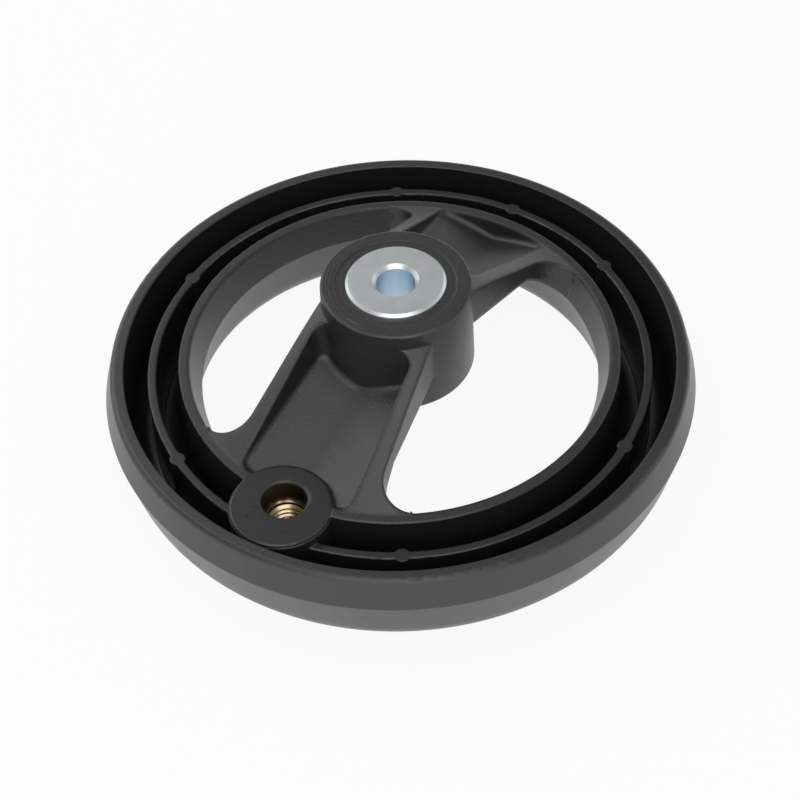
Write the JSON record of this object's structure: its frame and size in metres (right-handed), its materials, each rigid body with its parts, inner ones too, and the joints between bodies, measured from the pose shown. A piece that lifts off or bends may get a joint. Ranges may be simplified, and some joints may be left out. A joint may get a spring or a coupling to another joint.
{
  "type": "two-spoke handwheel",
  "caption": "Black plastic machine handwheel with spokes, a plated steel hub bush with a plain bore, and a brass threaded insert in the rim for a revolving handle.",
  "frame": {"origin": "on the bore axis, in the plane that the front face of the rim rests on", "axes": "+Z along the bore towards the machine side; +X from the bore to the handle boss, along the spokes"},
  "size_m": [0.125, 0.125, 0.0426],
  "materials": {
    "black_plastic": "fine spark-eroded grain, satin black",
    "zinc_plated_steel": "turned, blue-white zinc plate",
    "insert_brass": "turned, bright"
  },
  "bodies": {
    "root": {"wheel_body": "black_plastic", "hub_bush": "zinc_plated_steel", "handle_insert": "insert_brass"}
  },
  "joints": []
}
